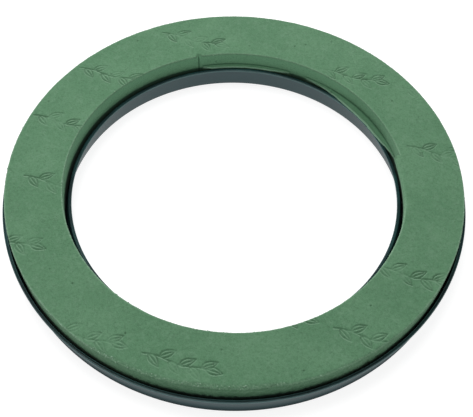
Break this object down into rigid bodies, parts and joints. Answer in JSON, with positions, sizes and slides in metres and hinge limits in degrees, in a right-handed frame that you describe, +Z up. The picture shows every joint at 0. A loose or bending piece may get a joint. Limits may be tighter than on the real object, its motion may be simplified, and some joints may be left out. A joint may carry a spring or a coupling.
{
  "type": "floral foam ring",
  "caption": "Ring of green wet floral foam in a dark plastic tray, butted from curved blocks; a base for wreaths and table flowers.",
  "frame": {"origin": "centre of the tray's underside, on the surface that the ring stands on", "axes": "+Z up, along the ring's own axis; +X and +Y across the ring, with -Y towards the viewer"},
  "size_m": [0.4082, 0.4082, 0.0449],
  "materials": {
    "foam": "dry phenolic foam, dull and finely porous, with crumbling edges",
    "tray_plastic": "smooth moulded plastic, very dark green, semi-gloss",
    "glue": "hot-melt glue, waxy and milky"
  },
  "bodies": {
    "root": {"tray": "tray_plastic", "foam_back_right": "foam", "foam_back_left": "foam", "foam_front_left": "foam", "foam_front_right": "foam", "glue_bead_back_right": "glue", "glue_bead_back_left": "glue", "glue_bead_front_left": "glue", "glue_bead_front_right": "glue"}
  },
  "joints": []
}
